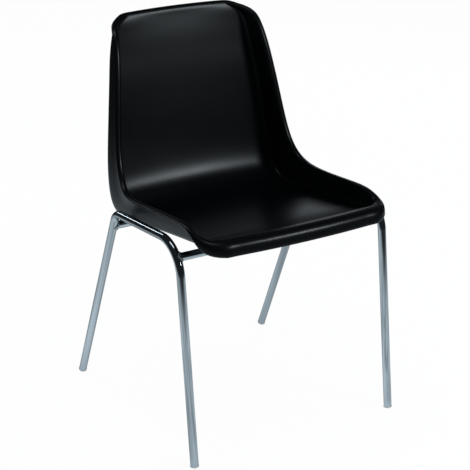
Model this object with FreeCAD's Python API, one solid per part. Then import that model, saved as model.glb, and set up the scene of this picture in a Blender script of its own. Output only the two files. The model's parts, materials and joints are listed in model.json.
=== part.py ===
import FreeCAD, Part

# Choir chair: one moulded seat shell on a chromed four-leg tube frame. Sizes are in millimetres.
# X runs across the chair, the sitter faces -Y, Z is up and the glides stand on Z = 0.
# Left and right are the sitter's own: left is +X.

import math
import os
from collections import namedtuple

V = FreeCAD.Vector

# Frame: two bent side tubes joined by two cross tubes.
tube_d = 16.0
tube_wall = 1.5
side_x = 226.4
front_corner = (-178.2, 434.0)      # where the front leg and the rail would meet, as (y, z)
rear_corner = (67.1, 416.0)
front_foot_y = -227.6
rear_foot_y = 250.35
front_bend_r = 65.0
rear_bend_r = 30.0
front_cross = (-171.2, 405.5)
rear_cross = (80.3, 386.0)
weld_leg = 2.0

# Glides: a shank pressed into the tube, a flange that carries the tube's end and a domed face.
glide_d = 17.2
glide_flange = 1.2
glide_dome_r = 14.0
glide_worn = 0.5                    # how much of the dome is cut flat on the floor
shank_d = tube_d - 2 * tube_wall
shank_len = 20.0
shank_tip = 1.5

# Seat shell: sheet thickness, and how the rim rolls over at the sides, the front and the top.
sheet = 4.5
Roll = namedtuple("Roll", "radius angle flat")
side_roll = Roll(6.5, 110.0, 3.5)
front_roll = Roll(17.0, 86.0, 11.0)
top_roll = Roll(8.0, 105.0, 3.0)
roll_steps = 5
edge_bulge = 4.0 / 3.0 * sheet / 2
least_wall = 22.0

# Each station is one section of the shell, from the front edge over the seat and up the back.
# Its floor line starts on the spine, rises by crown to the corner, and a wall goes on to the rim.
Station = namedtuple("Station", "y z rim_x rim_y rim_z crown corner draft front top")
stations = [
    Station(-237.0, 446.5, 163.0, -230.5, 446.5, 6, 12, 20, 1.00, 0),
    Station(-233.2, 446.2, 178.5, -227.0, 446.7, 5, 12, 20, 0.90, 0),
    Station(-227.2, 445.2, 189.5, -219.7, 447.8, 4, 12, 18, 0.60, 0),
    Station(-217.2, 442.8, 194.0, -207.0, 450.3, 1, 12, 12, 0.25, 0),
    Station(-200.2, 438.8, 193.8, -190.9, 453.1, -3, 12, 6, 0.05, 0),
    Station(-173.2, 433.0, 192.0, -166.0, 455.3, -5, 12, 3, 0, 0),
    Station(-136.2, 427.5, 190.5, -132.2, 455.2, -4, 12, 2, 0, 0),
    Station(-80.2, 420.5, 191.8, -78.2, 450.2, -4, 12, 2, 0, 0),
    Station(-20.2, 412.5, 192.6, -22.2, 446.0, -4, 12, 1, 0, 0),
    Station(35.8, 406.0, 196.2, 21.8, 443.5, -5, 11, 0, 0, 0),
    Station(79.8, 402.5, 198.2, 51.5, 445.0, -6, 9, 0, 0, 0),
    Station(120.8, 400.0, 196.4, 72.5, 451.7, -7, 8, 0, 0, 0),
    Station(150.8, 421.0, 192.6, 89.5, 465.5, -5, 8, 0, 0, 0),
    Station(165.3, 462.0, 189.2, 105.8, 488.7, -2, 8, 0, 0, 0),
    Station(173.3, 503.0, 185.6, 117.3, 518.5, 0, 9, 0, 0, 0),
    Station(180.3, 548.0, 180.2, 127.8, 562.0, 2, 9, 0, 0, 0),
    Station(187.8, 593.0, 174.2, 136.8, 606.0, 3, 9, 0, 0, 0),
    Station(195.8, 640.0, 167.8, 146.3, 650.0, 4, 10, 0, 0, 0),
    Station(203.3, 678.0, 162.3, 155.8, 686.0, 4, 10, 0, 0, 0),
    Station(208.8, 708.0, 158.0, 165.8, 712.0, 5, 11, 2, 0, 0),
    Station(213.3, 729.5, 154.5, 175.5, 729.5, 6, 12, 6, 0, 0.15),
    Station(216.3, 743.5, 150.3, 185.0, 741.0, 7, 12, 13, 0, 0.45),
    Station(218.3, 753.5, 144.0, 195.0, 748.5, 6, 12, 20, 0, 0.80),
    Station(219.5, 760.8, 133.0, 203.5, 752.3, 4, 12, 20, 0, 1.00),
]
floor_steps = (0.30, 0.60)          # poles on the floor line, as shares of its half width
corner_steps = (1.7, 1.0, 0.35)     # poles beside the corner, in corner radii

# Fixings: bosses under the shell sit astride the cross tubes, each with a threaded insert.
boss_x = 140.0
boss_d = 26.0
boss_wrap = 4.0                     # how far a boss reaches down past the top of its tube
boss_bite = 2.2                     # how far a boss runs up into the sheet
insert_d = 7.0
insert_len = 6.0
screw_d = 5.0
screw_len = 25.0
screw_hole_d = 5.5
head_d = 10.0
head_h = 3.7
head_bevel = 1.6
recess_d = 4.6                      # cross recess: outer size, slot width and depth
recess_slot = 1.2
recess_h = 2.2
washer_d = 14.0
washer_h = 3.0                      # saddle washer, from the tube's lowest line to its flat face


def unit(v):
    v = V(v)
    v.normalize()
    return v


# Bent tubes

dome_rim = math.sqrt(glide_dome_r ** 2 - (glide_d / 2) ** 2)     # from the dome's centre to its rim


def leg_end(corner, foot_y):
    """Centre of the glide's dome, the point where the tube stops, and the leg's upward axis."""
    foot = V(0, foot_y, 0)
    axis = unit(V(0, *corner) - foot)
    dome = foot + axis * ((glide_dome_r - glide_worn) / axis.z)
    return dome, dome - axis * (dome_rim - glide_flange), axis


front_dome, front_end, front_axis = leg_end(front_corner, front_foot_y)
rear_dome, rear_end, rear_axis = leg_end(rear_corner, rear_foot_y)


def pillar(x, place, diameter, low, high):
    """Upright cylinder on a cross tube's middle plane; low and high count from the tube's axis."""
    return Part.makeCylinder(diameter / 2, high - low, V(x, place[0], place[1] + low))


def bent_path(points, radii):
    """Straight runs joined by tangent arcs."""
    edges = []
    start = points[0]
    for k, radius in enumerate(radii):
        corner = points[k + 1]
        back = unit(points[k] - corner)
        ahead = unit(points[k + 2] - corner)
        half = back.getAngle(ahead) / 2
        reach = radius / math.tan(half)
        centre = corner + unit(back + ahead) * (radius / math.sin(half))
        arc_in = corner + back * reach
        arc_out = corner + ahead * reach
        arc_mid = centre + unit(corner - centre) * radius
        edges.append(Part.LineSegment(start, arc_in).toShape())
        edges.append(Part.Arc(arc_in, arc_mid, arc_out).toShape())
        start = arc_out
    edges.append(Part.LineSegment(start, points[-1]).toShape())
    return Part.Wire(edges)


def side_sweep(x, radius):
    """Solid round bar of the given radius along one side tube's axis."""
    points = [V(x, p.y, p.z) for p in (
        front_end, V(0, *front_corner), V(0, *rear_corner), rear_end)]
    path = bent_path(points, (front_bend_r, rear_bend_r))
    disc = Part.Face(Part.Wire(Part.Circle(points[0], front_axis, radius).toShape()))
    return path.makePipe(disc)


def side_frame(x):
    return side_sweep(x, tube_d / 2).cut(side_sweep(x, tube_d / 2 - tube_wall))


def cross_bar(place, radius):
    return Part.makeCylinder(radius, 2 * side_x, V(-side_x, *place), V(1, 0, 0))


def cross_tube(place):
    """Tube whose coped ends sit on the side tubes, drilled through for the two shell screws."""
    tube = cross_bar(place, tube_d / 2).cut(cross_bar(place, tube_d / 2 - tube_wall))
    for x in (-side_x, side_x):
        tube = tube.cut(side_sweep(x, tube_d / 2))
    for x in (-boss_x, boss_x):
        tube = tube.cut(pillar(x, place, screw_hole_d, -tube_d, tube_d))
    return max(tube.Solids, key=lambda s: s.Volume)


def weld_bead(x, place):
    """Ring of weld where a cross tube meets a side tube."""
    inward = -1 if x > 0 else 1
    sleeve = Part.makeCylinder(tube_d / 2 + weld_leg, tube_d, V(x, *place), V(inward, 0, 0))
    bead = sleeve.common(side_sweep(x, tube_d / 2 + weld_leg))
    bead = bead.cut(side_sweep(x, tube_d / 2))
    bead = bead.cut(Part.makeCylinder(tube_d / 2, tube_d, V(x, *place), V(inward, 0, 0)))
    return max(bead.Solids, key=lambda s: s.Volume)


def glide(x, dome, axis):
    """One turned piece on the leg's axis, cut flat where it stands on the floor."""
    centre = V(x, dome.y, dome.z)

    def at(radius, height):
        return centre + V(radius, 0, 0) + axis * height

    seat = glide_flange - dome_rim
    half = math.asin(glide_d / 2 / glide_dome_r) / 2
    middle = at(glide_dome_r * math.sin(half), -glide_dome_r * math.cos(half))
    rim = at(glide_d / 2, -dome_rim)
    outline = [
        Part.Arc(at(0, -glide_dome_r), middle, rim).toShape(),
        Part.makePolygon([
            rim,
            at(glide_d / 2, seat),
            at(shank_d / 2, seat),
            at(shank_d / 2, seat + shank_len - shank_tip),
            at(shank_d / 2 - shank_tip, seat + shank_len),
            at(0, seat + shank_len),
            at(0, -glide_dome_r),
        ]),
    ]
    edges = [edge for piece in outline for edge in piece.Edges]
    turned = Part.Face(Part.Wire(edges)).revolve(centre, axis, 360)
    room = 4 * glide_d
    return turned.common(Part.makeBox(room, room, room, centre - V(room / 2, room / 2, centre.z)))


# Seat shell

def section(st):
    """Half section poles, from the spine to the rim, as points of the shell's sitting side."""
    lift = V(0, st.rim_y - st.y, st.rim_z - st.z)
    total = lift.Length
    lift = unit(lift)
    rise = max(total - st.crown, 0.0)
    wall = max(rise / math.cos(math.radians(st.draft)), least_wall)
    wall_up = rise / wall
    wall_out = math.sqrt(max(1 - wall_up ** 2, 0))
    corner_x = st.rim_x - wall * wall_out
    slope = 2 * st.crown / corner_x
    along = 1 / math.hypot(1, slope)
    spread = min(st.corner, 0.40 * wall)
    flat = [(0, 0)]
    flat += [(s * corner_x, 0.9 * st.crown * s ** 2) for s in floor_steps]
    flat += [(corner_x - k * spread * along, st.crown - k * spread * along * slope) for k in corner_steps]
    flat += [(corner_x + k * spread * wall_out, st.crown + k * spread * wall_up) for k in corner_steps[:0:-1]]
    flat += [(st.rim_x, total)]
    return [V(x, st.y, st.z) + lift * up for x, up in flat]


def mirrored(point):
    return V(-point.x, point.y, point.z)


def pole_net():
    """Rows of poles, one per station, from the right rim to the left rim."""
    rows = []
    for st in stations:
        half = section(st)
        rows.append([mirrored(p) for p in half[:0:-1]] + half)
    return rows


def rim_places(rows, cols):
    """The net's outer poles in order round the rim, as four sides that share their end poles."""
    right = [(i, 0) for i in range(rows)]
    top = [(rows - 1, j) for j in range(cols)]
    left = [(i, cols - 1) for i in range(rows - 1, -1, -1)]
    front = [(0, j) for j in range(cols - 1, -1, -1)]
    return right, top, left, front


def roll_at(row):
    """The rim's roll at a station: the sides' roll, blended into the front's or the top's."""
    st = stations[row]
    return Roll(*[s + (f - s) * st.front + (t - s) * st.top
                  for s, f, t in zip(side_roll, front_roll, top_roll)])


def rim_frames(net):
    """Outward direction and sitting-side normal at every pole of the rim."""
    rows, cols = len(net), len(net[0])
    middle = cols // 2
    up = unit(net[-1][middle] - net[-2][middle])
    ahead = unit(net[0][middle] - net[1][middle])
    loop = []
    for side in rim_places(rows, cols):
        loop += side[:-1]
    frames = {}
    for k, (i, j) in enumerate(loop):
        st = stations[i]
        before = loop[k - 1]
        after = loop[(k + 1) % len(loop)]
        run = unit(net[after[0]][after[1]] - net[before[0]][before[1]])
        wall = unit(net[i][j] - net[i][min(max(j, 1), cols - 2)]) if j in (0, cols - 1) else up
        out = wall * (1 - st.front - st.top) + ahead * st.front + up * st.top
        out = unit(out - run * out.dot(run))
        frames[(i, j)] = (out, run.cross(out))
    return frames


def sitting_normal(net, i, j):
    across = net[i][j + 1] - net[i][j - 1]
    along = net[i + 1][j] - net[i - 1][j]
    return unit(across.cross(along))


def roll_poles(place, frames, net, depth):
    """Section of the rolled rim at one pole; depth is 0 on the sitting side and sheet beneath."""
    out, normal = frames[place]
    roll = roll_at(place[0])
    centre = net[place[0]][place[1]] - normal * roll.radius
    radius = roll.radius - depth
    poles = []
    for step in range(roll_steps + 1):
        a = math.radians(roll.angle) * step / roll_steps
        poles.append(centre + normal * (radius * math.cos(a)) + out * (radius * math.sin(a)))
    a = math.radians(roll.angle)
    tangent = out * math.cos(a) - normal * math.sin(a)
    poles.append(poles[-1] + tangent * (roll.flat / 2))
    poles.append(poles[-1] + tangent * (roll.flat / 2))
    return poles, tangent


def spline_knots(count):
    spans = count - 3
    return [4] + [1] * (spans - 1) + [4], [float(k) for k in range(spans + 1)]


def spline_face(poles):
    """Cubic surface with evenly spaced knots on a net of poles."""
    row_mults, row_knots = spline_knots(len(poles))
    col_mults, col_knots = spline_knots(len(poles[0]))
    surface = Part.BSplineSurface()
    surface.buildFromPolesMultsKnots(
        poles, row_mults, col_mults, row_knots, col_knots, False, False, 3, 3)
    return surface.toShape()


def seat_skin():
    """The shell's sheet with its rolled rim, as one closed solid."""
    net = pole_net()
    rows, cols = len(net), len(net[0])
    frames = rim_frames(net)
    under = []
    for i in range(rows):
        line = []
        for j in range(cols):
            edge = (i, j) in frames
            normal = frames[(i, j)][1] if edge else sitting_normal(net, i, j)
            line.append(net[i][j] - normal * sheet)
        under.append(line)
    faces = [spline_face(net), spline_face(under)]
    for side in rim_places(rows, cols):
        over_strip, under_strip, edge_strip = [], [], []
        for place in side:
            over, tangent = roll_poles(place, frames, net, 0)
            below, _ = roll_poles(place, frames, net, sheet)
            bulge = tangent * edge_bulge
            over_strip.append(over)
            under_strip.append(below)
            edge_strip.append([over[-1], over[-1] + bulge, below[-1] + bulge, below[-1]])
        faces += [spline_face(over_strip), spline_face(under_strip), spline_face(edge_strip)]
    skin = Part.Shell(faces)
    skin.sewShape()
    solid = Part.Solid(skin)
    if solid.Volume < 0:
        solid.reverse()
    return solid


def underside(shell, x, y):
    """Height of the shell's underside above the point x, y."""
    probe = Part.makeLine(V(x, y, 0), V(x, y, rear_corner[1] + 2 * boss_d))
    return shell.common(probe).BoundBox.ZMin


def add_bosses(shell, place):
    """Fuse the two bosses over one cross tube and bore them for their inserts."""
    for x in (-boss_x, boss_x):
        top = underside(shell, x, place[0]) + boss_bite - place[1]
        boss = pillar(x, place, boss_d, tube_d / 2 - boss_wrap, top).cut(cross_bar(place, tube_d / 2))
        shell = shell.fuse(boss).cut(pillar(x, place, insert_d, 0, tube_d / 2 + insert_len))
    return shell


# Fixings

def threaded_insert(x, place):
    """Brass sleeve in a boss, its foot shaped to the tube."""
    top = tube_d / 2 + insert_len
    sleeve = pillar(x, place, insert_d, 0, top).cut(cross_bar(place, tube_d / 2))
    return sleeve.cut(pillar(x, place, screw_d, 0, top))


def saddle_washer(x, place):
    """Washer whose upper side fits round the tube and whose lower side is flat."""
    low = -tube_d / 2 - washer_h
    block = pillar(x, place, washer_d, low, -tube_d / 4)
    return block.cut(cross_bar(place, tube_d / 2)).cut(pillar(x, place, screw_hole_d, low, 0))


def shell_screw(x, place):
    """Pan head screw from below, through the washer and the tube into the insert."""
    seat = -tube_d / 2 - washer_h
    head = pillar(x, place, head_d, seat - head_h, seat)
    rim = [e for e in head.Edges if abs(e.CenterOfMass.z - place[1] - seat + head_h) < 0.01]
    head = head.makeChamfer(head_bevel, rim)
    for along, across in ((recess_d, recess_slot), (recess_slot, recess_d)):
        corner = V(x - along / 2, place[0] - across / 2, place[1] + seat - head_h)
        head = head.cut(Part.makeBox(along, across, recess_h, corner))
    return head.fuse(pillar(x, place, screw_d, seat, seat + screw_len))


def each_fixing(make):
    """The same fixing at all four bosses, as separate solids in one piece."""
    return Part.makeCompound([make(x, place) for place in (front_cross, rear_cross)
                              for x in (-boss_x, boss_x)])


def build():
    shell = seat_skin()
    for place in (front_cross, rear_cross):
        shell = add_bosses(shell, place)
    parts = {
        "seat_shell": shell,
        "left_side_frame": side_frame(side_x),
        "right_side_frame": side_frame(-side_x),
        "front_cross_tube": cross_tube(front_cross),
        "rear_cross_tube": cross_tube(rear_cross),
        "front_welds": Part.makeCompound([weld_bead(x, front_cross) for x in (-side_x, side_x)]),
        "rear_welds": Part.makeCompound([weld_bead(x, rear_cross) for x in (-side_x, side_x)]),
        "foot_glides": Part.makeCompound([
            glide(x, dome, axis) for x in (-side_x, side_x)
            for dome, axis in ((front_dome, front_axis), (rear_dome, rear_axis))]),
        "threaded_inserts": each_fixing(threaded_insert),
        "saddle_washers": each_fixing(saddle_washer),
        "shell_screws": each_fixing(shell_screw),
    }
    os.makedirs("parts", exist_ok=True)
    for name, shape in parts.items():
        shape.exportStep(os.path.join("parts", name + ".step"))


build()
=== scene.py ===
"""Choir chair: the looks of the moulded seat shell and its chromed tube frame.

X runs across the chair, the sitter faces -Y and Z is up. Sizes are written in millimetres in the
classes below and turned into metres by MM where a mesh is placed.
"""
from __future__ import annotations

import json
import logging
import math
from dataclasses import dataclass, field
from enum import Enum

import bmesh
import bpy
import numpy as np
from mathutils import Matrix, Vector

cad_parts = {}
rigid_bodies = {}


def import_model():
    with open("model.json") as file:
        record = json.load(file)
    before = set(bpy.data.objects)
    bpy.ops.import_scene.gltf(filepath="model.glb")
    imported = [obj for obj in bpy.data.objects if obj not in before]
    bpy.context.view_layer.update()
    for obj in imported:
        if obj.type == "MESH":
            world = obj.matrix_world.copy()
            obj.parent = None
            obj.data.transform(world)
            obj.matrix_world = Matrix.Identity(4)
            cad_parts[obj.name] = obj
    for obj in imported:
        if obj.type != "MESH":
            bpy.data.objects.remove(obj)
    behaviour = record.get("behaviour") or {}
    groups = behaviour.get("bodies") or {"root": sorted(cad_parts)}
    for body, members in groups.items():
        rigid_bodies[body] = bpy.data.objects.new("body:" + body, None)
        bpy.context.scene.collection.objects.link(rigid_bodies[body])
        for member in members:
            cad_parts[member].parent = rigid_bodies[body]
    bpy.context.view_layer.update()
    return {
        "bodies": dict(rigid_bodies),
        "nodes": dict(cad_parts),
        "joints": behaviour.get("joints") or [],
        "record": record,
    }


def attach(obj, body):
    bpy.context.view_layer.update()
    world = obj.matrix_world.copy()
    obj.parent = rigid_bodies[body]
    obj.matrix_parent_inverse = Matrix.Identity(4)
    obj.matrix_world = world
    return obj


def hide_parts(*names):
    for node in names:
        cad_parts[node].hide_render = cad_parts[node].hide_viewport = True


MM = 0.001
FRONT_CROSS = (-171.2, 405.5)
REAR_CROSS = (80.3, 386.0)
log = logging.getLogger("choir_chair")


class Ray(Enum):
    """Kinds of ray, by their socket on the Light Path node."""

    CAMERA = "Is Camera Ray"
    GLOSSY = "Is Glossy Ray"


# Angles in degrees past which an edge stays sharp
TUBE_EDGE = 40
MOULDED_EDGE = 50


# Meshes

def finish_mesh(name: str, bm: bmesh.types.BMesh, material: bpy.types.Material,
                merge: float = 0.00001) -> bpy.types.Object:
    """Turns a bmesh in metres into a smooth-shaded object at the origin.

    Args:
        name: name of the object and its mesh.
        bm: the shape, closed and in place; it is freed here.
        material: the finish of every face.
        merge: distance in metres within which points are joined.

    Returns:
        The new object, linked to the scene.
    """
    bmesh.ops.remove_doubles(bm, verts=bm.verts, dist=merge)
    bmesh.ops.recalc_face_normals(bm, faces=bm.faces)
    mesh = bpy.data.meshes.new(name)
    bm.to_mesh(mesh)
    bm.free()
    mesh.materials.append(material)
    for face in mesh.polygons:
        face.use_smooth = True
    piece = bpy.data.objects.new(name, mesh)
    bpy.context.scene.collection.objects.link(piece)
    return piece


def sharpen(piece: bpy.types.Object, angle: float) -> None:
    """Marks the edges of a mesh that turn by more than an angle as sharp.

    Args:
        piece: the object whose mesh is marked.
        angle: the angle in degrees.
    """
    mesh = piece.data
    bm = bmesh.new()
    bm.from_mesh(mesh)
    for edge in bm.edges:
        if len(edge.link_faces) == 2 and edge.calc_face_angle(0.0) > math.radians(angle):
            edge.smooth = False
    bm.to_mesh(mesh)
    bm.free()


def edges_of(geometry: list) -> list[bmesh.types.BMEdge]:
    """The edges among the results of a bmesh operator."""
    return [g for g in geometry if isinstance(g, bmesh.types.BMEdge)]


def verts_of(geometry: list) -> list[bmesh.types.BMVert]:
    """The vertices among the results of a bmesh operator."""
    return [g for g in geometry if isinstance(g, bmesh.types.BMVert)]


def turned(bm: bmesh.types.BMesh, profile: list[tuple[float, float]], centre: Vector,
           axis: Vector, steps: int) -> list[bmesh.types.BMVert]:
    """Turns a profile into a closed round solid.

    Args:
        bm: the bmesh that receives the solid.
        profile: points as (radius, height along the axis) in millimetres, from axis to axis
            or once round a ring.
        centre: where height 0 lies, in millimetres.
        axis: the direction of the axis.
        steps: faces round the axis.

    Returns:
        The solid's vertices.
    """
    before = set(bm.verts)
    axis = axis.normalized()
    side = axis.orthogonal().normalized()
    points = [bm.verts.new((centre + side * radius + axis * height) * MM)
              for radius, height in profile]
    edges = [bm.edges.new(pair) for pair in zip(points, points[1:])]
    bmesh.ops.spin(bm, geom=points + edges, cent=centre * MM, axis=axis, dvec=(0, 0, 0),
                   angle=math.tau, steps=steps, use_merge=True, use_duplicate=False)
    made = [v for v in bm.verts if v not in before]
    bmesh.ops.remove_doubles(bm, verts=made, dist=0.000005)
    return [v for v in bm.verts if v not in before]


# Shader node groups

class NodeTree:
    """Thin helper that adds and links nodes in a material, group or world tree."""

    def __init__(self, tree: bpy.types.NodeTree) -> None:
        """Keeps the tree that the nodes go into."""
        self.tree = tree

    def add(self, kind: str, **settings: object) -> bpy.types.Node:
        """Adds a node.

        Args:
            kind: the node's type.
            settings: properties to set on it.

        Returns:
            The new node.
        """
        node = self.tree.nodes.new(kind)
        for key, value in settings.items():
            setattr(node, key, value)
        return node

    def link(self, source: bpy.types.NodeSocket, target: bpy.types.NodeSocket) -> None:
        """Links an output to an input."""
        self.tree.links.new(source, target)

    def feed(self, socket: bpy.types.NodeSocket, value: object) -> None:
        """Gives an input its value, or links the output that supplies it."""
        if isinstance(value, bpy.types.NodeSocket):
            self.link(value, socket)
        else:
            socket.default_value = value

    def maths(self, operation: str, *values: object) -> bpy.types.NodeSocket:
        """Adds a Math node.

        Args:
            operation: what it works out.
            values: its inputs in order, each a number or an output socket.

        Returns:
            The node's output.
        """
        node = self.add("ShaderNodeMath", operation=operation)
        for socket, value in zip(node.inputs, values):
            self.feed(socket, value)
        return node.outputs[0]

    def noise(self, place: bpy.types.NodeSocket, scale: object, detail: float = 2.0,
              distortion: float = 0.0) -> bpy.types.NodeSocket:
        """Adds a solid noise.

        Args:
            place: the output that says where it is read.
            scale: its scale, a number or an output socket.
            detail: how many finer layers it has.
            distortion: how far it is twisted.

        Returns:
            The noise, around 0.5.
        """
        node = self.add("ShaderNodeTexNoise", noise_dimensions="3D")
        for label, value in (("Vector", place), ("Scale", scale), ("Detail", detail),
                             ("Distortion", distortion)):
            self.feed(node.inputs[label], value)
        return node.outputs[0]

    def spread(self, value: bpy.types.NodeSocket, given: tuple[float, float],
               wanted: tuple[float, float], kind: str = "LINEAR") -> bpy.types.NodeSocket:
        """Maps a value from one range to another.

        Args:
            value: the output to map.
            given: its own range.
            wanted: the range it gets, with what lies outside cut off.
            kind: how it runs between the ends.

        Returns:
            The mapped value.
        """
        node = self.add("ShaderNodeMapRange", interpolation_type=kind)
        for label, number in zip(("From Min", "From Max", "To Min", "To Max"), given + wanted):
            node.inputs[label].default_value = number
        self.link(value, node.inputs["Value"])
        return node.outputs["Result"]

    def bump(self, height: bpy.types.NodeSocket, strength: float, depth: float,
             shader: bpy.types.Node) -> None:
        """Raises a shader's surface by a height.

        Args:
            height: the output with the height.
            strength: the bump's strength.
            depth: the height's reach in millimetres.
            shader: the shader whose normal it turns.
        """
        node = self.add("ShaderNodeBump")
        for label, value in (("Strength", strength), ("Distance", depth * MM),
                             ("Height", height)):
            self.feed(node.inputs[label], value)
        self.link(node.outputs["Normal"], shader.inputs["Normal"])


def new_group(name: str, inputs: dict[str, float], outputs: dict[str, str]) -> bpy.types.NodeTree:
    """Makes an empty shader group with float inputs and the given outputs.

    Args:
        name: the group's name.
        inputs: input names and their default values.
        outputs: output names and their socket types.

    Returns:
        The group, with a Group Input and a Group Output node in it.
    """
    group = bpy.data.node_groups.new(name, "ShaderNodeTree")
    for label, value in inputs.items():
        socket = group.interface.new_socket(label, in_out="INPUT", socket_type="NodeSocketFloat")
        socket.default_value = value
    for label, kind in outputs.items():
        group.interface.new_socket(label, in_out="OUTPUT", socket_type=kind)
    group.nodes.new("NodeGroupInput")
    group.nodes.new("NodeGroupOutput")
    return group


def moulded_grain_group() -> bpy.types.NodeTree:
    """Fine moulded grain with slow patches: gives a height, a roughness and a colour mask."""
    group = new_group(
        "moulded_grain",
        {"Grain Scale": 900.0, "Patch Scale": 9.0, "Roughness": 0.3, "Roughness Spread": 0.05},
        {"Height": "NodeSocketFloat", "Roughness": "NodeSocketFloat", "Patches": "NodeSocketFloat"})
    tree = NodeTree(group)
    given = group.nodes["Group Input"].outputs
    out = group.nodes["Group Output"].inputs
    place = tree.add("ShaderNodeTexCoord").outputs["Object"]
    tree.link(tree.noise(place, given["Grain Scale"]), out["Height"])
    patches = tree.noise(place, given["Patch Scale"], detail=4.0)
    tree.link(patches, out["Patches"])
    swing = tree.maths("SUBTRACT", patches, 0.5)
    spread = tree.maths("MULTIPLY", swing, given["Roughness Spread"])
    tree.link(tree.maths("ADD", given["Roughness"], spread), out["Roughness"])
    return group


def handled_metal_group() -> bpy.types.NodeTree:
    """Faint smears and pin marks on plated metal: gives a roughness and a height."""
    group = new_group(
        "handled_metal",
        {"Smear Scale": 22.0, "Roughness": 0.06, "Roughness Spread": 0.05, "Mark Scale": 420.0},
        {"Roughness": "NodeSocketFloat", "Height": "NodeSocketFloat"})
    tree = NodeTree(group)
    given = group.nodes["Group Input"].outputs
    out = group.nodes["Group Output"].inputs
    place = tree.add("ShaderNodeTexCoord").outputs["Object"]
    smear = tree.noise(place, given["Smear Scale"], detail=5.0, distortion=0.6)
    masked = tree.maths("SMOOTH_MAX", tree.maths("SUBTRACT", smear, 0.5), 0.0, 0.1)
    spread = tree.maths("MULTIPLY", masked, given["Roughness Spread"])
    tree.link(tree.maths("ADD", given["Roughness"], spread), out["Roughness"])
    tree.link(tree.noise(place, given["Mark Scale"]), out["Height"])
    return group


# Finishes

@dataclass(frozen=True)
class MouldedPlastic:
    """A moulded plastic with a fine grain."""

    name: str
    colour: tuple[float, float, float]
    patch_colour: tuple[float, float, float]
    roughness: float = 0.3
    roughness_spread: float = 0.06
    specular: float = 0.5
    grain_scale: float = 900.0
    grain_depth: float = 0.02
    grain_strength: float = 0.35

    def material(self, grain: bpy.types.NodeTree) -> bpy.types.Material:
        """Builds the material.

        Args:
            grain: the moulded grain group.

        Returns:
            The new material.
        """
        made = bpy.data.materials.new(self.name)
        made.use_nodes = True
        tree = NodeTree(made.node_tree)
        shader = made.node_tree.nodes["Principled BSDF"]
        shader.inputs["Specular IOR Level"].default_value = self.specular
        texture = tree.add("ShaderNodeGroup", node_tree=grain)
        texture.inputs["Grain Scale"].default_value = self.grain_scale
        texture.inputs["Roughness"].default_value = self.roughness
        texture.inputs["Roughness Spread"].default_value = self.roughness_spread
        blend = tree.add("ShaderNodeMix", data_type="RGBA")
        blend.inputs["A"].default_value = (*self.colour, 1)
        blend.inputs["B"].default_value = (*self.patch_colour, 1)
        tree.link(texture.outputs["Patches"], blend.inputs["Factor"])
        tree.link(blend.outputs["Result"], shader.inputs["Base Color"])
        tree.link(texture.outputs["Roughness"], shader.inputs["Roughness"])
        tree.bump(texture.outputs["Height"], self.grain_strength, self.grain_depth, shader)
        return made


@dataclass(frozen=True)
class PlatedMetal:
    """A plated or bare metal with faint handling marks."""

    name: str
    colour: tuple[float, float, float]
    roughness: float = 0.06
    roughness_spread: float = 0.06
    mark_depth: float = 0.002
    mark_strength: float = 0.2
    edge_tint: float = 0.55

    def material(self, marks: bpy.types.NodeTree) -> bpy.types.Material:
        """Builds the material.

        Args:
            marks: the handled metal group.

        Returns:
            The new material.
        """
        made = bpy.data.materials.new(self.name)
        made.use_nodes = True
        tree = NodeTree(made.node_tree)
        shader = made.node_tree.nodes["Principled BSDF"]
        shader.inputs["Base Color"].default_value = (*self.colour, 1)
        shader.inputs["Metallic"].default_value = 1.0
        shader.inputs["Specular Tint"].default_value = (*(self.edge_tint for _ in range(3)), 1)
        texture = tree.add("ShaderNodeGroup", node_tree=marks)
        texture.inputs["Roughness"].default_value = self.roughness
        texture.inputs["Roughness Spread"].default_value = self.roughness_spread
        tree.link(texture.outputs["Roughness"], shader.inputs["Roughness"])
        tree.bump(texture.outputs["Height"], self.mark_strength, self.mark_depth, shader)
        return made


@dataclass
class Finishes:
    """Every finish on the chair, each built once."""

    shell: bpy.types.Material
    chrome: bpy.types.Material
    weld: bpy.types.Material
    glide: bpy.types.Material
    brass: bpy.types.Material
    washer: bpy.types.Material
    screw: bpy.types.Material

    @classmethod
    def build(cls) -> Finishes:
        """Builds the shared groups and all the finishes."""
        grain = moulded_grain_group()
        marks = handled_metal_group()
        return cls(
            shell=MouldedPlastic("shell_plastic", (0.0014, 0.0022, 0.0030),
                                 (0.0024, 0.0036, 0.0046), roughness=0.30, specular=0.34,
                                 grain_scale=1400.0).material(grain),
            chrome=PlatedMetal("chromed_tube", (0.56, 0.60, 0.63)).material(marks),
            weld=PlatedMetal("chromed_weld", (0.50, 0.54, 0.56), roughness=0.16,
                             mark_depth=0.02).material(marks),
            glide=MouldedPlastic("glide_plastic", (0.72, 0.73, 0.73), (0.80, 0.80, 0.80),
                                 roughness=0.42).material(grain),
            brass=PlatedMetal("brass_insert", (0.62, 0.46, 0.20), roughness=0.25).material(marks),
            washer=MouldedPlastic("washer_plastic", (0.02, 0.02, 0.022), (0.03, 0.03, 0.032),
                                  roughness=0.5).material(grain),
            screw=PlatedMetal("screw_steel", (0.52, 0.53, 0.55), roughness=0.24).material(marks))


# Side frames

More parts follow.
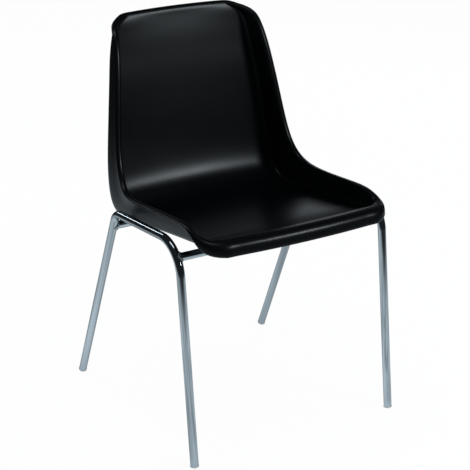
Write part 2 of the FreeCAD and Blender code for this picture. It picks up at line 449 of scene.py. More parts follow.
@dataclass
class SideFrame:
    """One bent tube: front leg, rail and rear leg in one plane."""

    tube_d: float = 16.0
    wall: float = 1.5
    side_x: float = 226.4
    front_corner: tuple[float, float] = (-178.2, 434.0)
    rear_corner: tuple[float, float] = (67.1, 416.0)
    front_foot_y: float = -227.6
    rear_foot_y: float = 250.35
    front_bend_r: float = 65.0
    rear_bend_r: float = 30.0
    round_steps: int = 64
    bend_steps: int = 28

    def leg(self, corner: tuple[float, float], foot_y: float) -> tuple[Vector, Vector]:
        """Foot of a leg's axis on the floor and its upward direction, both in the X = 0 plane."""
        foot = Vector((0, foot_y, 0))
        return foot, (Vector((0, *corner)) - foot).normalized()

    def front_leg(self) -> tuple[Vector, Vector]:
        """The front leg's axis."""
        return self.leg(self.front_corner, self.front_foot_y)

    def rear_leg(self) -> tuple[Vector, Vector]:
        """The rear leg's axis."""
        return self.leg(self.rear_corner, self.rear_foot_y)

    def bend(self, before: Vector, corner: Vector, after: Vector,
             radius: float) -> tuple[Vector, Vector, Vector, float]:
        """Arc that rounds a corner of the axis.

        Args:
            before: a point on the run into the corner.
            corner: where the two runs meet.
            after: a point on the run out of it.
            radius: the arc's radius.

        Returns:
            The arc's start, end and centre, and the angle it turns through.
        """
        back = (before - corner).normalized()
        ahead = (after - corner).normalized()
        half = back.angle(ahead) / 2
        reach = radius / math.tan(half)
        centre = corner + (back + ahead).normalized() * (radius / math.sin(half))
        return corner + back * reach, corner + ahead * reach, centre, math.pi - 2 * half

    def runs(self, foot_gap: float) -> tuple[Vector, tuple, tuple, Vector]:
        """The axis in the X = 0 plane: its start, its two bends and its end.

        Args:
            foot_gap: length of each leg's axis that the glide takes up above the floor.

        Returns:
            The start, the front bend, the rear bend and the end, the bends as bend gives them.
        """
        front, front_up = self.front_leg()
        rear, rear_up = self.rear_leg()
        front_corner = Vector((0, *self.front_corner))
        rear_corner = Vector((0, *self.rear_corner))
        start = front + front_up * foot_gap
        end = rear + rear_up * foot_gap
        first = self.bend(start, front_corner, rear_corner, self.front_bend_r)
        second = self.bend(front_corner, rear_corner, end, self.rear_bend_r)
        return start, first, second, end

    def offset_from_axis(self, y: float, z: float) -> float:
        """Distance from a point of the frame's plane to the tube's axis.

        Args:
            y: the point's place along the chair.
            z: its height.

        Returns:
            The distance in millimetres.
        """
        start, first, second, end = self.runs(0.0)
        point = Vector((0, y, z))
        gaps = []
        for a, b in ((start, first[0]), (first[1], second[0]), (second[1], end)):
            along = (b - a).normalized()
            reach = min(max((point - a).dot(along), 0.0), (b - a).length)
            gaps.append((point - a - along * reach).length)
        for (arc_in, arc_out, centre, _), radius in ((first, self.front_bend_r),
                                                     (second, self.rear_bend_r)):
            ray = point - centre
            if ray.dot(arc_in - centre) > 0 and ray.dot(arc_out - centre) > 0:
                gaps.append(abs(ray.length - radius))
        return min(gaps)

    def build(self, name: str, x: float, foot_gaps: tuple[float, float],
              material: bpy.types.Material) -> bpy.types.Object:
        """Sweeps the tube along its axis, ring by ring, and gives it its wall.

        Args:
            name: the piece's name.
            x: the tube's place across the chair.
            foot_gaps: length of axis below the tube's end at the front and the rear leg.
            material: the tube's finish.

        Returns:
            The side frame.
        """
        shift = Vector((x, 0, 0))
        start, first, second, _ = self.runs(foot_gaps[0])
        end = self.runs(foot_gaps[1])[3]
        _, up = self.front_leg()
        bm = bmesh.new()
        turn = Vector((0, 0, 1)).rotation_difference(up).to_matrix().to_4x4()
        place = Matrix.Translation((start + shift) * MM) @ turn
        ring = bmesh.ops.create_circle(bm, cap_ends=False, segments=self.round_steps,
                                       radius=self.tube_d / 2 * MM, matrix=place)
        edges = list({e for v in ring["verts"] for e in v.link_edges})
        for (arc_in, arc_out, centre, angle), origin in ((first, start), (second, first[1])):
            edges = self.extend(bm, edges, arc_in - origin)
            spun = bmesh.ops.spin(bm, geom=edges, cent=(centre + shift) * MM, axis=(-1, 0, 0),
                                  dvec=(0, 0, 0), angle=angle, steps=self.bend_steps,
                                  use_duplicate=False)
            edges = edges_of(spun["geom_last"])
        self.extend(bm, edges, end - second[1])
        bmesh.ops.recalc_face_normals(bm, faces=bm.faces)
        bmesh.ops.solidify(bm, geom=bm.faces[:], thickness=self.wall * MM)
        piece = finish_mesh(name, bm, material)
        sharpen(piece, TUBE_EDGE)
        return piece

    def extend(self, bm: bmesh.types.BMesh, edges: list, step: Vector) -> list:
        """Extrudes an open ring of edges along a straight run.

        Args:
            bm: the bmesh with the ring.
            edges: the ring.
            step: the run, in millimetres.

        Returns:
            The edges of the new ring.
        """
        pushed = bmesh.ops.extrude_edge_only(bm, edges=edges)["geom"]
        bmesh.ops.translate(bm, verts=verts_of(pushed), vec=step * MM)
        moved = set(verts_of(pushed))
        return [e for e in edges_of(pushed) if e.verts[0] in moved and e.verts[1] in moved]


# Cross tubes and welds

@dataclass
class CrossTube:
    """A straight tube between the side frames, its ends coped to them, and its two welds."""

    place: tuple[float, float]
    frame: SideFrame = field(default_factory=SideFrame)
    bead_r: float = 2.0
    bead_ripple: float = 0.25
    ripples: int = 26
    points_per_ripple: int = 4

    def cope(self, y: float, z: float) -> float:
        """How far across the chair the side tube's wall lies at a point of its plane."""
        radius = self.frame.tube_d / 2
        offset = min(self.frame.offset_from_axis(y, z), radius)
        return self.frame.side_x - math.sqrt(radius ** 2 - offset ** 2)

    def build(self, name: str, material: bpy.types.Material) -> bpy.types.Object:
        """Makes the tube and draws its ends to the side tubes.

        Args:
            name: the piece's name.
            material: the tube's finish.

        Returns:
            The cross tube.
        """
        bm = bmesh.new()
        place = Matrix.Translation(Vector((0, *self.place)) * MM)
        radius = self.frame.tube_d / 2 * MM
        bmesh.ops.create_cone(bm, cap_ends=False, segments=self.frame.round_steps,
                              radius1=radius, radius2=radius,
                              depth=2 * self.frame.side_x * MM,
                              matrix=place @ Matrix.Rotation(math.pi / 2, 4, "Y"))
        for vert in bm.verts:
            reach = self.cope(vert.co.y / MM, vert.co.z / MM)
            vert.co.x = math.copysign(reach * MM, vert.co.x)
        bmesh.ops.recalc_face_normals(bm, faces=bm.faces)
        bmesh.ops.solidify(bm, geom=bm.faces[:], thickness=self.frame.wall * MM)
        piece = finish_mesh(name, bm, material)
        sharpen(piece, TUBE_EDGE)
        return piece

    def welds(self, name: str, material: bpy.types.Material) -> bpy.types.Object:
        """Lays a rippled bead of weld round both ends.

        Args:
            name: the piece's name.
            material: the beads' finish.

        Returns:
            The two beads as one piece.
        """
        curve = bpy.data.curves.new(name, "CURVE")
        curve.dimensions = "3D"
        curve.bevel_depth = self.bead_r * MM
        curve.bevel_resolution = 3
        radius = self.frame.tube_d / 2
        steps = self.points_per_ripple * self.ripples
        for side in (-1, 1):
            line = curve.splines.new("POLY")
            line.points.add(steps - 1)
            line.use_cyclic_u = True
            for k, point in enumerate(line.points):
                angle = math.tau * k / steps
                y = self.place[0] + radius * math.cos(angle)
                z = self.place[1] + radius * math.sin(angle)
                point.co = Vector((side * self.cope(y, z), y, z, 1000)) * MM
                point.radius = 1 + self.bead_ripple * math.cos(self.ripples * angle)
        drawn = bpy.data.objects.new(name + "_line", curve)
        bpy.context.scene.collection.objects.link(drawn)
        graph = bpy.context.evaluated_depsgraph_get()
        bm = bmesh.new()
        bm.from_mesh(bpy.data.meshes.new_from_object(drawn.evaluated_get(graph)))
        bpy.data.objects.remove(drawn)
        return finish_mesh(name, bm, material)


# Glides

@dataclass
class Glides:
    """Plastic glides pressed into the leg ends, domed below and worn flat on the floor."""

    frame: SideFrame = field(default_factory=SideFrame)
    width: float = 17.2
    flange: float = 1.2
    dome_r: float = 14.0
    worn: float = 0.5
    shank_len: float = 20.0
    shank_play: float = 0.05
    edge_r: float = 0.4
    dome_steps: int = 10
    round_steps: int = 48

    def dome_rim(self) -> float:
        """Distance from the dome's centre to the plane of its rim."""
        return math.sqrt(self.dome_r ** 2 - (self.width / 2) ** 2)

    def dome_centre(self, foot: Vector, up: Vector) -> Vector:
        """Centre of the dome on a leg's axis."""
        return foot + up * ((self.dome_r - self.worn) / up.z)

    def tube_gap(self, up: Vector) -> float:
        """Length of the leg's axis between the floor and the end of the tube."""
        return (self.dome_r - self.worn) / up.z - (self.dome_rim() - self.flange)

    def profile(self) -> list[tuple[float, float]]:
        """The glide's half outline, from the foot of its axis to the tip of its shank."""
        half = math.asin(self.width / 2 / self.dome_r)
        dome = [(self.dome_r * math.sin(half * k / self.dome_steps),
                 -self.dome_r * math.cos(half * k / self.dome_steps))
                for k in range(self.dome_steps + 1)]
        seat = self.flange - self.dome_rim()
        shank = self.frame.tube_d / 2 - self.frame.wall - self.shank_play
        return dome[:-1] + [
            (self.width / 2 - self.edge_r * 0.3, -self.dome_rim()),
            (self.width / 2, -self.dome_rim() + self.edge_r),
            (self.width / 2, seat - self.edge_r),
            (self.width / 2 - self.edge_r, seat),
            (shank, seat),
            (shank, seat + self.shank_len),
            (0.0, seat + self.shank_len)]

    def build(self, name: str, material: bpy.types.Material) -> bpy.types.Object:
        """Turns the four glides on their legs' axes and flattens them on the floor.

        Args:
            name: the piece's name.
            material: the glides' finish.

        Returns:
            The four glides as one piece.
        """
        bm = bmesh.new()
        for foot, up in (self.frame.front_leg(), self.frame.rear_leg()):
            for x in (-self.frame.side_x, self.frame.side_x):
                centre = self.dome_centre(foot, up) + Vector((x, 0, 0))
                turned(bm, self.profile(), centre, up, self.round_steps)
        for vert in bm.verts:
            vert.co.z = max(vert.co.z, 0.0)
        piece = finish_mesh(name, bm, material)
        sharpen(piece, MOULDED_EDGE)
        return piece


# Seat shell

@dataclass(frozen=True)
class Roll:
    """How the shell's rim rolls over: the arc's radius and angle, then a flat."""

    radius: float
    angle: float
    flat: float

    def scaled(self, share: float) -> Roll:
        """The roll with every size times a share."""
        return Roll(self.radius * share, self.angle * share, self.flat * share)

    def plus(self, other: Roll) -> Roll:
        """The sum of two rolls, size by size."""
        return Roll(self.radius + other.radius, self.angle + other.angle, self.flat + other.flat)


@dataclass(frozen=True)
class Station:
    """One section of the shell, from its spine over the corner to the rim.

    Its floor line starts at (y, z) on the spine, rises by crown to a corner of the given radius,
    and a wall with the given draft goes on to the rim. front and top say how far its rim has the
    front's or the top's roll.
    """

    y: float
    z: float
    rim_x: float
    rim_y: float
    rim_z: float
    crown: float
    corner: float
    draft: float
    front: float = 0.0
    top: float = 0.0


@dataclass
class Strip:
    """One side of the rolled rim: pole rows for the sitting side, the edge and the underside."""

    over: np.ndarray
    edge: np.ndarray
    under: np.ndarray


def spline_weights(count: int, at: float) -> np.ndarray:
    """Weights of the poles of a cubic spline with even, clamped knots.

    Args:
        count: how many poles it has.
        at: the parameter, from 0 to 1.

    Returns:
        One weight for each pole.
    """
    spans = count - 3
    knots = [0.0] * 3 + [float(k) for k in range(spans + 1)] + [float(spans)] * 3
    t = min(max(at * spans, 0.0), spans - 1e-9)
    weights = [1.0 if knots[k] <= t < knots[k + 1] else 0.0 for k in range(len(knots) - 1)]
    for degree in (1, 2, 3):
        raised = []
        for k in range(len(weights) - 1):
            left = knots[k + degree] - knots[k]
            right = knots[k + degree + 1] - knots[k + 1]
            value = weights[k] * (t - knots[k]) / left if left else 0.0
            value += weights[k + 1] * (knots[k + degree + 1] - t) / right if right else 0.0
            raised.append(value)
        weights = raised
    return np.array(weights)


def unit(vector: np.ndarray) -> np.ndarray:
    """The vector at length one."""
    return vector / np.linalg.norm(vector)


@dataclass
class SeatShell:
    """The moulded shell: one sheet, its rolled rim and the four bosses under it."""

    sheet: float = 4.5
    least_wall: float = 22.0
    side_roll: Roll = Roll(6.5, 110.0, 3.5)
    front_roll: Roll = Roll(17.0, 86.0, 11.0)
    top_roll: Roll = Roll(8.0, 105.0, 3.0)
    roll_steps: int = 5
    edge_bulge: float = 3.0
    boss_x: float = 140.0
    boss_d: float = 26.0
    boss_wrap: float = 4.0
    boss_root: float = 3.0
    boss_bore: float = 7.0
    tube_d: float = 16.0
    cross_tubes: tuple[tuple[float, float], ...] = (FRONT_CROSS, REAR_CROSS)
    boss_chamfer: float = 0.6
    boss_steps: int = 48
    root_steps: int = 4
    foot_steps: int = 7
    bore_depth: float = 6.0
    into_sheet: float = 2.0
    rows_per_span: int = 4
    edge_rings: int = 6
    corner_share: float = 0.40
    floor_sag: float = 0.9
    search_steps: int = 120
    seat_end_y: float = 150.0
    floor_steps: tuple[float, ...] = (0.30, 0.60)
    corner_steps: tuple[float, ...] = (1.7, 1.0, 0.35)
    stations: tuple[Station, ...] = (
        Station(-237.0, 446.5, 163.0, -230.5, 446.5, 6, 12, 20, front=1.0),
        Station(-233.2, 446.2, 178.5, -227.0, 446.7, 5, 12, 20, front=0.9),
        Station(-227.2, 445.2, 189.5, -219.7, 447.8, 4, 12, 18, front=0.6),
        Station(-217.2, 442.8, 194.0, -207.0, 450.3, 1, 12, 12, front=0.25),
        Station(-200.2, 438.8, 193.8, -190.9, 453.1, -3, 12, 6, front=0.05),
        Station(-173.2, 433.0, 192.0, -166.0, 455.3, -5, 12, 3),
        Station(-136.2, 427.5, 190.5, -132.2, 455.2, -4, 12, 2),
        Station(-80.2, 420.5, 191.8, -78.2, 450.2, -4, 12, 2),
        Station(-20.2, 412.5, 192.6, -22.2, 446.0, -4, 12, 1),
        Station(35.8, 406.0, 196.2, 21.8, 443.5, -5, 11, 0),
        Station(79.8, 402.5, 198.2, 51.5, 445.0, -6, 9, 0),
        Station(120.8, 400.0, 196.4, 72.5, 451.7, -7, 8, 0),
        Station(150.8, 421.0, 192.6, 89.5, 465.5, -5, 8, 0),
        Station(165.3, 462.0, 189.2, 105.8, 488.7, -2, 8, 0),
        Station(173.3, 503.0, 185.6, 117.3, 518.5, 0, 9, 0),
        Station(180.3, 548.0, 180.2, 127.8, 562.0, 2, 9, 0),
        Station(187.8, 593.0, 174.2, 136.8, 606.0, 3, 9, 0),
        Station(195.8, 640.0, 167.8, 146.3, 650.0, 4, 10, 0),
        Station(203.3, 678.0, 162.3, 155.8, 686.0, 4, 10, 0),
        Station(208.8, 708.0, 158.0, 165.8, 712.0, 5, 11, 2),
        Station(213.3, 729.5, 154.5, 175.5, 729.5, 6, 12, 6, top=0.15),
        Station(216.3, 743.5, 150.3, 185.0, 741.0, 7, 12, 13, top=0.45),
        Station(218.3, 753.5, 144.0, 195.0, 748.5, 6, 12, 20, top=0.80),
        Station(219.5, 760.8, 133.0, 203.5, 752.3, 4, 12, 20, top=1.0))

    def section(self, st: Station) -> list[np.ndarray]:
        """Half section of the sitting side at one station.

        Args:
            st: the station.

        Returns:
            Its poles from the spine to the rim.
        """
        foot = np.array([0.0, st.y, st.z])
        lift = np.array([0.0, st.rim_y - st.y, st.rim_z - st.z])
        total = float(np.linalg.norm(lift))
        lift = unit(lift)
        rise = max(total - st.crown, 0.0)
        wall = max(rise / math.cos(math.radians(st.draft)), self.least_wall)
        wall_up = rise / wall
        wall_out = math.sqrt(max(1 - wall_up ** 2, 0.0))
        corner_x = st.rim_x - wall * wall_out
        slope = 2 * st.crown / corner_x
        along = 1 / math.hypot(1, slope)
        spread = min(st.corner, self.corner_share * wall)
        line = [(0.0, 0.0)]
        line += [(s * corner_x, self.floor_sag * st.crown * s ** 2) for s in self.floor_steps]
        line += [(corner_x - k * spread * along, st.crown - k * spread * along * slope)
                 for k in self.corner_steps]
        line += [(corner_x + k * spread * wall_out, st.crown + k * spread * wall_up)
                 for k in self.corner_steps[:0:-1]]
        line += [(st.rim_x, total)]
        return [foot + lift * up + np.array([x, 0.0, 0.0]) for x, up in line]

    def pole_net(self) -> np.ndarray:
        """Poles of the sitting side, one row for each station, from the right rim to the left."""
        flip = np.array([-1.0, 1.0, 1.0])
        halves = [self.section(st) for st in self.stations]
        return np.array([[p * flip for p in half[:0:-1]] + half for half in halves])

    def rim_places(self, rows: int, cols: int) -> list[list[tuple[int, int]]]:
        """The net's outer places round the rim.

        Args:
            rows: how many stations the net has.
            cols: how many poles each has.

        Returns:
            Four sides of (row, column) places that share their ends.
        """
        return [[(i, 0) for i in range(rows)],
                [(rows - 1, j) for j in range(cols)],
                [(i, cols - 1) for i in range(rows - 1, -1, -1)],
                [(0, j) for j in range(cols - 1, -1, -1)]]

    def rim_frames(self, net: np.ndarray) -> dict[tuple[int, int], tuple[np.ndarray, np.ndarray]]:
        """Directions at every pole of the rim.

        Args:
            net: poles of the sitting side.

        Returns:
            For each outer place, the outward direction and the sitting side's normal.
        """
        rows, cols = net.shape[:2]
        middle = cols // 2
        up = unit(net[-1, middle] - net[-2, middle])
        ahead = unit(net[0, middle] - net[1, middle])
        loop = [place for side in self.rim_places(rows, cols) for place in side[:-1]]
        frames = {}
        for k, (i, j) in enumerate(loop):
            st = self.stations[i]
            run = unit(net[loop[(k + 1) % len(loop)]] - net[loop[k - 1]])
            inner = min(max(j, 1), cols - 2)
            wall = unit(net[i, j] - net[i, inner]) if j in (0, cols - 1) else up
            out = wall * (1 - st.front - st.top) + ahead * st.front + up * st.top
            out = unit(out - run * float(run @ out))
            frames[(i, j)] = (out, np.cross(run, out))
        return frames

    def roll_at(self, row: int) -> Roll:
        """The rim's roll at a station, blended from the sides' to the front's or the top's."""
        st = self.stations[row]
        sides = self.side_roll.scaled(1 - st.front - st.top)
        return sides.plus(self.front_roll.scaled(st.front)).plus(self.top_roll.scaled(st.top))

    def roll_poles(self, pole: np.ndarray, roll: Roll, out: np.ndarray, normal: np.ndarray,
                   depth: float) -> tuple[list[np.ndarray], np.ndarray]:
        """Section of the rolled rim at one pole.

        Args:
            pole: the net's pole where the roll begins.
            roll: the roll there.
            out: the outward direction.
            normal: the sitting side's normal.
            depth: how far below the sitting side the section runs.

        Returns:
            The section's poles, and the direction in which it ends.
        """
        centre = pole - normal * roll.radius
        radius = roll.radius - depth
        angle = math.radians(roll.angle)
        turns = [angle * step / self.roll_steps for step in range(self.roll_steps + 1)]
        poles = [centre + normal * radius * math.cos(t) + out * radius * math.sin(t)
                 for t in turns]
        tangent = out * math.cos(angle) - normal * math.sin(angle)
        poles += [poles[-1] + tangent * roll.flat / 2, poles[-1] + tangent * roll.flat]
        return poles, tangent

    def under_net(self, net: np.ndarray, frames: dict) -> np.ndarray:
        """Moves the sitting side's poles down by the sheet's thickness.

        Args:
            net: poles of the sitting side.
            frames: the directions at the rim, as rim_frames gives them.

        Returns:
            Poles of the underside.
        """
        under = net.copy()
        for i in range(net.shape[0]):
            for j in range(net.shape[1]):
                if (i, j) in frames:
                    normal = frames[(i, j)][1]
                else:
                    normal = unit(np.cross(net[i, j + 1] - net[i, j - 1],
                                           net[i + 1, j] - net[i - 1, j]))
                under[i, j] = net[i, j] - normal * self.sheet
        return under

    def strips(self, net: np.ndarray, frames: dict) -> list[Strip]:
        """Builds the pole rows of the rolled rim.

        Args:
            net: poles of the sitting side.
            frames: the directions at the rim, as rim_frames gives them.

        Returns:
            The rim's four sides.
        """
        made = []
        for places in self.rim_places(*net.shape[:2]):
            over, edge, under = [], [], []
            for place in places:
                out, normal = frames[place]
                roll = self.roll_at(place[0])
                top, tangent = self.roll_poles(net[place], roll, out, normal, 0.0)
                low, _ = self.roll_poles(net[place], roll, out, normal, self.sheet)
                bulge = tangent * self.edge_bulge
                over.append(top)
                under.append(low)
                edge.append([top[-1], top[-1] + bulge, low[-1] + bulge, low[-1]])
            made.append(Strip(np.array(over), np.array(edge), np.array(under)))
        return made

    def lay_skin(self, bm: bmesh.types.BMesh, net: np.ndarray) -> dict:
        """Lays a grid on a net of poles.

        Args:
            bm: the bmesh that receives the grid.
            net: the poles.

        Returns:
            Each rim vertex with the number of its side and its parameter along that side.
        """
        rows, cols = (self.rows_per_span * (n - 3) for n in net.shape[:2])
        across = [spline_weights(net.shape[1], k / cols) for k in range(cols + 1)]
        along = [spline_weights(net.shape[0], k / rows) for k in range(rows + 1)]
        laid = bmesh.ops.create_grid(bm, x_segments=cols, y_segments=rows, size=1.0)["verts"]
        rim = {}
        for vert in laid:
            u, v = (vert.co.x + 1) / 2, (vert.co.y + 1) / 2
            col, row = round(u * cols), round(v * rows)
            if col == 0:
                rim[vert] = (0, v)
            elif col == cols:
                rim[vert] = (2, 1 - v)
            elif row == rows:
                rim[vert] = (1, u)
            elif row == 0:
                rim[vert] = (3, 1 - u)
            vert.co = Vector(np.einsum("i,ijk,j->k", along[row], net, across[col])) * MM
        return rim

    def roll_rim(self, bm: bmesh.types.BMesh, rim: dict, strips: list[Strip]) -> None:
        """Extrudes the sitting side's outline ring by ring, over the roll and back beneath it.

        Args:
            bm: the bmesh with the sitting side laid in it.
            rim: its outer vertices, as lay_skin gives them.
            strips: the rim's four sides.
        """
        edges = [e for e in bm.edges if e.is_boundary]
        fine, round_off = 3 * self.roll_steps, self.edge_rings
        rings = [("over", k / fine) for k in range(1, fine + 1)]
        rings += [("edge", k / round_off) for k in range(1, round_off + 1)]
        rings += [("under", 1 - k / fine) for k in range(1, fine + 1)]
        for part, at in rings:
            pushed = bmesh.ops.extrude_edge_only(bm, edges=edges)["geom"]
            fresh = set(verts_of(pushed))
            next_rim = {}
            for vert in fresh:
                source = next(e.other_vert(vert) for e in vert.link_edges
                              if e.other_vert(vert) in rim)
                side, along = rim[source]
                poles = getattr(strips[side], part)
                lengthwise = spline_weights(poles.shape[0], along)
                round_it = spline_weights(poles.shape[1], at)
                vert.co = Vector(np.einsum("i,ijk,j->k", lengthwise, poles, round_it)) * MM
                next_rim[vert] = (side, along)
            edges = [e for e in edges_of(pushed) if e.verts[0] in fresh and e.verts[1] in fresh]
            rim = next_rim

    def add_boss(self, bm: bmesh.types.BMesh, x: float, tube: tuple[float, float],
                 top: float) -> None:
        """Turns one boss, with a flared root, and seats its foot on the cross tube.

        Args:
            bm: the bmesh that receives the boss.
            x: the boss's place across the chair.
            tube: the cross tube's axis as (y, z).
            top: the height of the shell's underside above it.
        """
        low = self.tube_d / 2 - self.boss_wrap
        high = top - tube[1]
        radius = self.tube_d / 2
        wall, bore = self.boss_d / 2, self.boss_bore / 2
        flare = min(self.boss_root, high - radius)
        foot = wall - self.boss_chamfer
        bore_top = radius + self.bore_depth
        profile = [(0.0, high + self.into_sheet), (wall + flare, high + self.into_sheet),
                   (wall + flare, high)]
        profile += [(wall + flare * (1 - math.sin(a)), high - flare * (1 - math.cos(a)))
                    for a in (math.pi / 2 * k / self.root_steps
                              for k in range(1, self.root_steps + 1))]
        profile += [(wall, low + self.boss_chamfer), (foot, low)]
        profile += [(foot + (bore - foot) * k / self.foot_steps, low)
                    for k in range(1, self.foot_steps + 1)]
        profile += [(bore, bore_top), (0.0, bore_top)]
        made = turned(bm, profile, Vector((x, *tube)), Vector((0, 0, 1)), self.boss_steps)
        for vert in made:
            off = vert.co.y / MM - tube[0]
            if abs(off) < radius:
                vert.co.z = max(vert.co.z, (tube[1] + math.sqrt(radius ** 2 - off ** 2)) * MM)

    def underside(self, under: np.ndarray, x: float, y: float) -> float:
        """Height of the shell's underside near a point.

        Args:
            under: poles of the underside.
            x: the point's place across the chair.
            y: its place along the chair.

        Returns:
            The height of the nearest of the underside's grid points.
        """
        shares = [k / self.search_steps for k in range(self.search_steps + 1)]
        rows = np.array([spline_weights(under.shape[0], share) for share in shares])
        cols = np.array([spline_weights(under.shape[1], share) for share in shares])
        points = np.einsum("ai,ijk,bj->abk", rows, under, cols).reshape(-1, 3)
        seat = points[points[:, 1] < self.seat_end_y]
        return float(seat[np.argmin(np.hypot(seat[:, 0] - x, seat[:, 1] - y)), 2])

    def build(self, name: str, material: bpy.types.Material) -> bpy.types.Object:
        """Builds the whole shell.

        Args:
            name: the piece's name.
            material: the shell's finish.

        Returns:
            The shell as one piece.
        """
        net = self.pole_net()
        frames = self.rim_frames(net)
        under = self.under_net(net, frames)
        bm = bmesh.new()
        rim = self.lay_skin(bm, net)
        self.roll_rim(bm, rim, self.strips(net, frames))
        self.lay_skin(bm, under)
        bmesh.ops.remove_doubles(bm, verts=bm.verts, dist=0.00001)
        bmesh.ops.recalc_face_normals(bm, faces=bm.faces)
        for tube in self.cross_tubes:
            for x in (-self.boss_x, self.boss_x):
                self.add_boss(bm, x, tube, self.underside(under, x, tube[0]))
        piece = finish_mesh(name, bm, material)
        sharpen(piece, MOULDED_EDGE)
        return piece


# Studio

@dataclass(frozen=True)
class Lamp:
    """A soft panel lamp that faces the chair."""

    name: str
    place: tuple[float, float, float]
    width: float
    height: float
    power: float
    aim: tuple[float, float, float] = (0.0, 0.0, 480.0)
    tint: tuple[float, float, float] = (0.86, 0.95, 1.0)

    def hang(self) -> bpy.types.Object:
        """Hangs the lamp, turned to its aim, and returns it."""
        data = bpy.data.lights.new(self.name, "AREA")
        data.shape = "RECTANGLE"
        data.size = self.width * MM
        data.size_y = self.height * MM
        data.energy = self.power
        data.color = self.tint
        made = bpy.data.objects.new(self.name, data)
        made.location = Vector(self.place) * MM
        facing = (Vector(self.aim) - Vector(self.place)).to_track_quat("-Z", "Y")
        made.rotation_euler = facing.to_euler()
        bpy.context.scene.collection.objects.link(made)
        return made


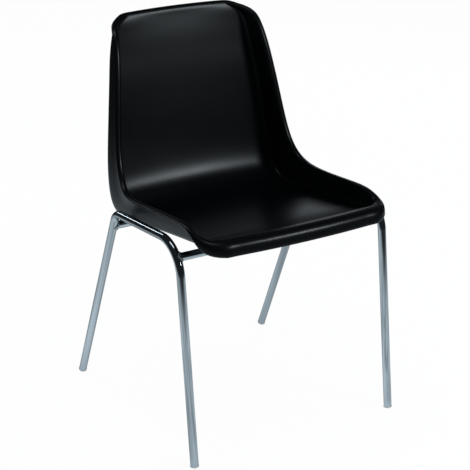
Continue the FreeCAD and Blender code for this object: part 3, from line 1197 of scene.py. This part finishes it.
@dataclass
class Studio:
    """Pale floor, soft lamps and the camera."""

    camera_at: tuple[float, float, float] = (-1402.93, -2282.69, 1394.41)
    azimuth: float = -31.62
    elevation: float = 21.36
    lens: float = 110.64
    floor_r: float = 12000.0
    floor_colour: tuple[float, float, float] = (0.80, 0.80, 0.80)
    # Painted reflection: colour, fade and noise streaks of the floor's glow that only mirrors see
    mirror_glow_colour: tuple[float, float, float] = (0.56, 0.64, 0.69)
    mirror_glow_near: float = 900.0
    mirror_glow_far: float = 2400.0
    mirror_glow_rest: float = 0.05
    glow_streak_scale: float = 2.6
    glow_streak_noise: tuple[float, float] = (0.35, 0.65)
    glow_streak_span: tuple[float, float] = (0.55, 1.25)
    fill: tuple[float, float, float] = (0.45, 0.47, 0.48)
    mirrored_room: tuple[float, float, float] = (0.015, 0.017, 0.019)
    white_share: float = 0.90
    white_strength: float = 1.05
    lamps: tuple[Lamp, ...] = (
        Lamp("overhead", (-250, -150, 2500), 900, 500, 3.0),
        Lamp("front_right", (1250, -2100, 1660), 600, 560, 16.0),
        Lamp("back_right", (2350, 1900, 1300), 2000, 900, 5.0),
        Lamp("back_strip", (-650, 2500, 2000), 200, 1500, 5.0))

    def camera(self) -> bpy.types.Object:
        """Sets the camera at the photograph's place and angle."""
        data = bpy.data.cameras.new("camera")
        data.lens = self.lens
        data.sensor_width = 36.0
        data.sensor_fit = "HORIZONTAL"
        data.clip_end = 50.0
        eye = bpy.data.objects.new("camera", data)
        eye.location = Vector(self.camera_at) * MM
        eye.rotation_euler = (math.radians(90 - self.elevation), 0, math.radians(self.azimuth))
        bpy.context.scene.collection.objects.link(eye)
        bpy.context.scene.camera = eye
        return eye

    def floor(self) -> bpy.types.Object:
        """Lays the floor: white to the eye, with the chair's shadow, and a painted reflection: a
        bluish glow seen only in mirrors, fading with distance and streaked by noise.
        """
        made = bpy.data.materials.new("studio_floor")
        made.use_nodes = True
        tree = NodeTree(made.node_tree)
        made.node_tree.nodes.remove(made.node_tree.nodes["Principled BSDF"])
        path = tree.add("ShaderNodeLightPath")
        paint = tree.add("ShaderNodeBsdfDiffuse")
        paint.inputs["Color"].default_value = (*self.floor_colour, 1)
        white = tree.add("ShaderNodeEmission")
        white.inputs["Strength"].default_value = self.white_strength
        seen = tree.add("ShaderNodeMixShader")
        tree.link(tree.maths("MULTIPLY", path.outputs[Ray.CAMERA.value], self.white_share),
                  seen.inputs[0])
        tree.link(paint.outputs[0], seen.inputs[1])
        tree.link(white.outputs[0], seen.inputs[2])
        # Painted reflection: for glossy rays the floor glows bluish-grey, fading with distance and
        # streaked by noise, which paints streaks on the chrome
        place = tree.add("ShaderNodeTexCoord").outputs["Object"]
        reach = tree.add("ShaderNodeVectorMath", operation="LENGTH")
        tree.link(place, reach.inputs[0])
        fade = tree.spread(reach.outputs["Value"],
                           (self.mirror_glow_near * MM, self.mirror_glow_far * MM),
                           (1.0, self.mirror_glow_rest), "SMOOTHSTEP")
        glow_streaks = tree.spread(tree.noise(place, self.glow_streak_scale), self.glow_streak_noise,
                              self.glow_streak_span)
        glow_in_mirrors = tree.add("ShaderNodeEmission")
        glow_in_mirrors.inputs["Color"].default_value = (*self.mirror_glow_colour, 1)
        tree.link(tree.maths("MULTIPLY", fade, glow_streaks), glow_in_mirrors.inputs["Strength"])
        mix = tree.add("ShaderNodeMixShader")
        tree.link(path.outputs[Ray.GLOSSY.value], mix.inputs[0])
        tree.link(seen.outputs[0], mix.inputs[1])
        tree.link(glow_in_mirrors.outputs[0], mix.inputs[2])
        tree.link(mix.outputs[0], made.node_tree.nodes["Material Output"].inputs["Surface"])
        bm = bmesh.new()
        bmesh.ops.create_circle(bm, cap_ends=True, segments=96, radius=self.floor_r * MM)
        piece = finish_mesh("floor", bm, made)
        return piece

    def room(self) -> None:
        """Fills the room with soft light; it is white to the eye and dim in mirrors."""
        world = bpy.data.worlds.new("studio_room")
        world.use_nodes = True
        bpy.context.scene.world = world
        tree = NodeTree(world.node_tree)
        path = tree.add("ShaderNodeLightPath")
        colour = None
        for ray, tint in ((Ray.CAMERA, (1.0, 1.0, 1.0)), (Ray.GLOSSY, self.mirrored_room)):
            blend = tree.add("ShaderNodeMix", data_type="RGBA")
            blend.inputs["A"].default_value = (*self.fill, 1)
            blend.inputs["B"].default_value = (*tint, 1)
            if colour:
                tree.link(colour, blend.inputs["A"])
            tree.link(path.outputs[ray.value], blend.inputs["Factor"])
            colour = blend.outputs["Result"]
        tree.link(colour, world.node_tree.nodes["Background"].inputs["Color"])

    def build(self) -> None:
        """Sets up the camera, floor, room and lamps, and the plain view transform."""
        bpy.context.scene.view_settings.view_transform = "Standard"
        self.camera()
        self.floor()
        self.room()
        for lamp in self.lamps:
            lamp.hang()


# The chair

@dataclass
class ChoirChair:
    """The whole chair on its frame of CAD nodes."""

    frame: dict
    finishes: Finishes
    body: str = "root"

    def stand_in(self, piece: bpy.types.Object, node: str) -> None:
        """Lets a piece stand for a CAD node.

        Args:
            piece: the finished piece.
            node: the CAD node it replaces.
        """
        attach(piece, self.body)
        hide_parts(node)
        log.info("%s stands for %s", piece.name, node)

    def dress(self, node: str, material: bpy.types.Material) -> None:
        """Gives a CAD node that stays its finish.

        Args:
            node: the node's name.
            material: its finish.
        """
        piece = self.frame["nodes"][node]
        for held in piece.material_slots:
            held.material = material
        log.info("%s dressed in %s", node, material.name)

    def build(self) -> None:
        """Builds the pieces in order, from the floor up."""
        side = SideFrame()
        glides = Glides(side)
        gaps = (glides.tube_gap(side.front_leg()[1]), glides.tube_gap(side.rear_leg()[1]))
        self.stand_in(glides.build("glides", self.finishes.glide), "foot_glides")
        for name, x in (("left_tube", side.side_x), ("right_tube", -side.side_x)):
            node = name.replace("tube", "side_frame")
            self.stand_in(side.build(name, x, gaps, self.finishes.chrome), node)
        for name, place in (("front", FRONT_CROSS), ("rear", REAR_CROSS)):
            cross = CrossTube(place, side)
            self.stand_in(cross.build(name + "_tube", self.finishes.chrome),
                          name + "_cross_tube")
            self.stand_in(cross.welds(name + "_beads", self.finishes.weld),
                          name + "_welds")
        shell = SeatShell()
        self.stand_in(shell.build("shell", self.finishes.shell), "seat_shell")
        self.dress("threaded_inserts", self.finishes.brass)
        self.dress("saddle_washers", self.finishes.washer)
        self.dress("shell_screws", self.finishes.screw)


def main() -> None:
    """Loads the frame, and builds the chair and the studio."""
    logging.basicConfig(level=logging.INFO, format="%(name)s: %(message)s")
    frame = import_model()
    ChoirChair(frame, Finishes.build()).build()
    Studio().build()


if __name__ == "__main__":
    main()
